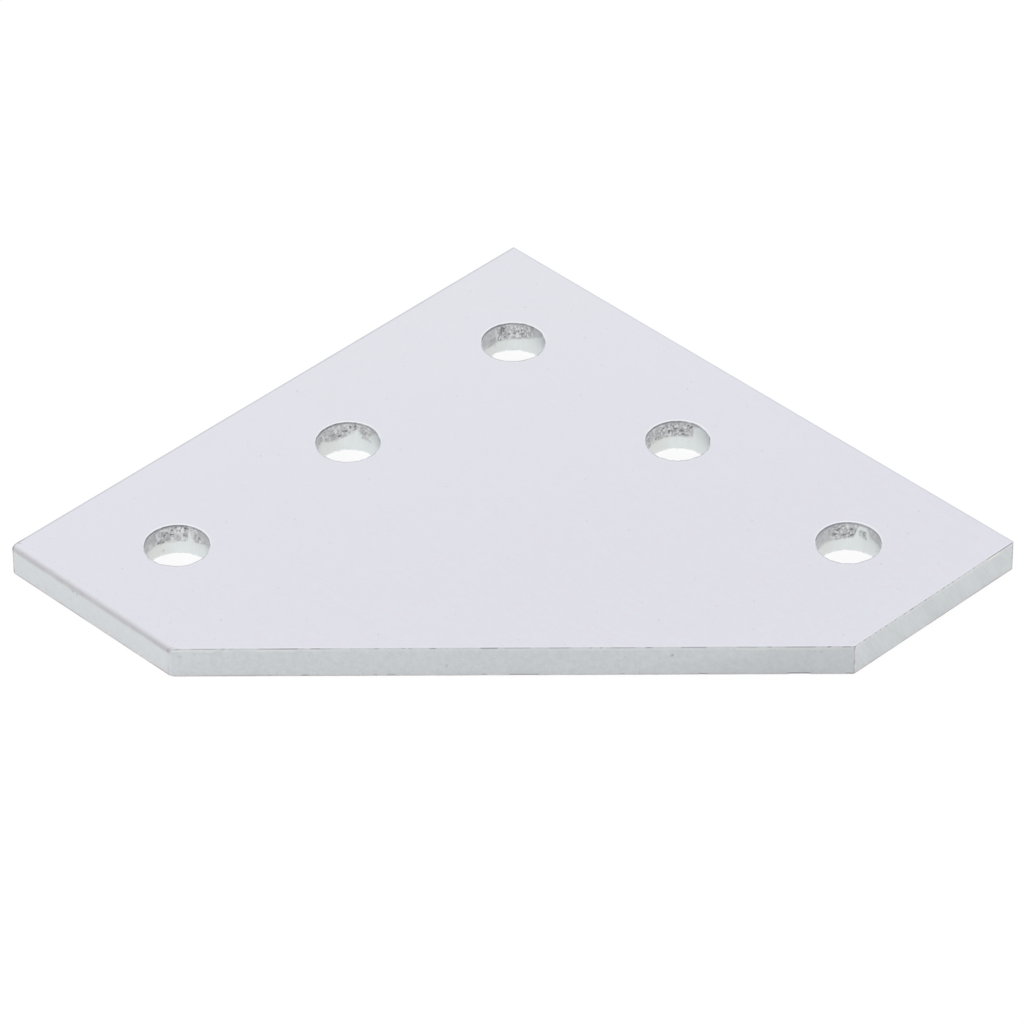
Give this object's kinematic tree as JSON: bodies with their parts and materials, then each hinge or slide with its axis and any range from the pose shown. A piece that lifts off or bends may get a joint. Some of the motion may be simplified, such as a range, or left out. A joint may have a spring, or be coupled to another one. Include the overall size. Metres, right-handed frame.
{
  "type": "extrusion joining plate",
  "caption": "Flat corner joining plate for slotted aluminium profile, with a square corner, squared leg ends, a diagonal edge and punched clearance holes along both legs.",
  "frame": {"origin": "axis of the hole at the square corner, at the underside of the plate", "axes": "+Z out of the upper face, where the bolt heads sit; +X and +Y along the two legs"},
  "size_m": [0.0597, 0.0597, 0.003],
  "materials": {
    "anodised_aluminium": "clear anodised, satin"
  },
  "bodies": {
    "root": {"joining_plate": "anodised_aluminium"}
  },
  "joints": []
}
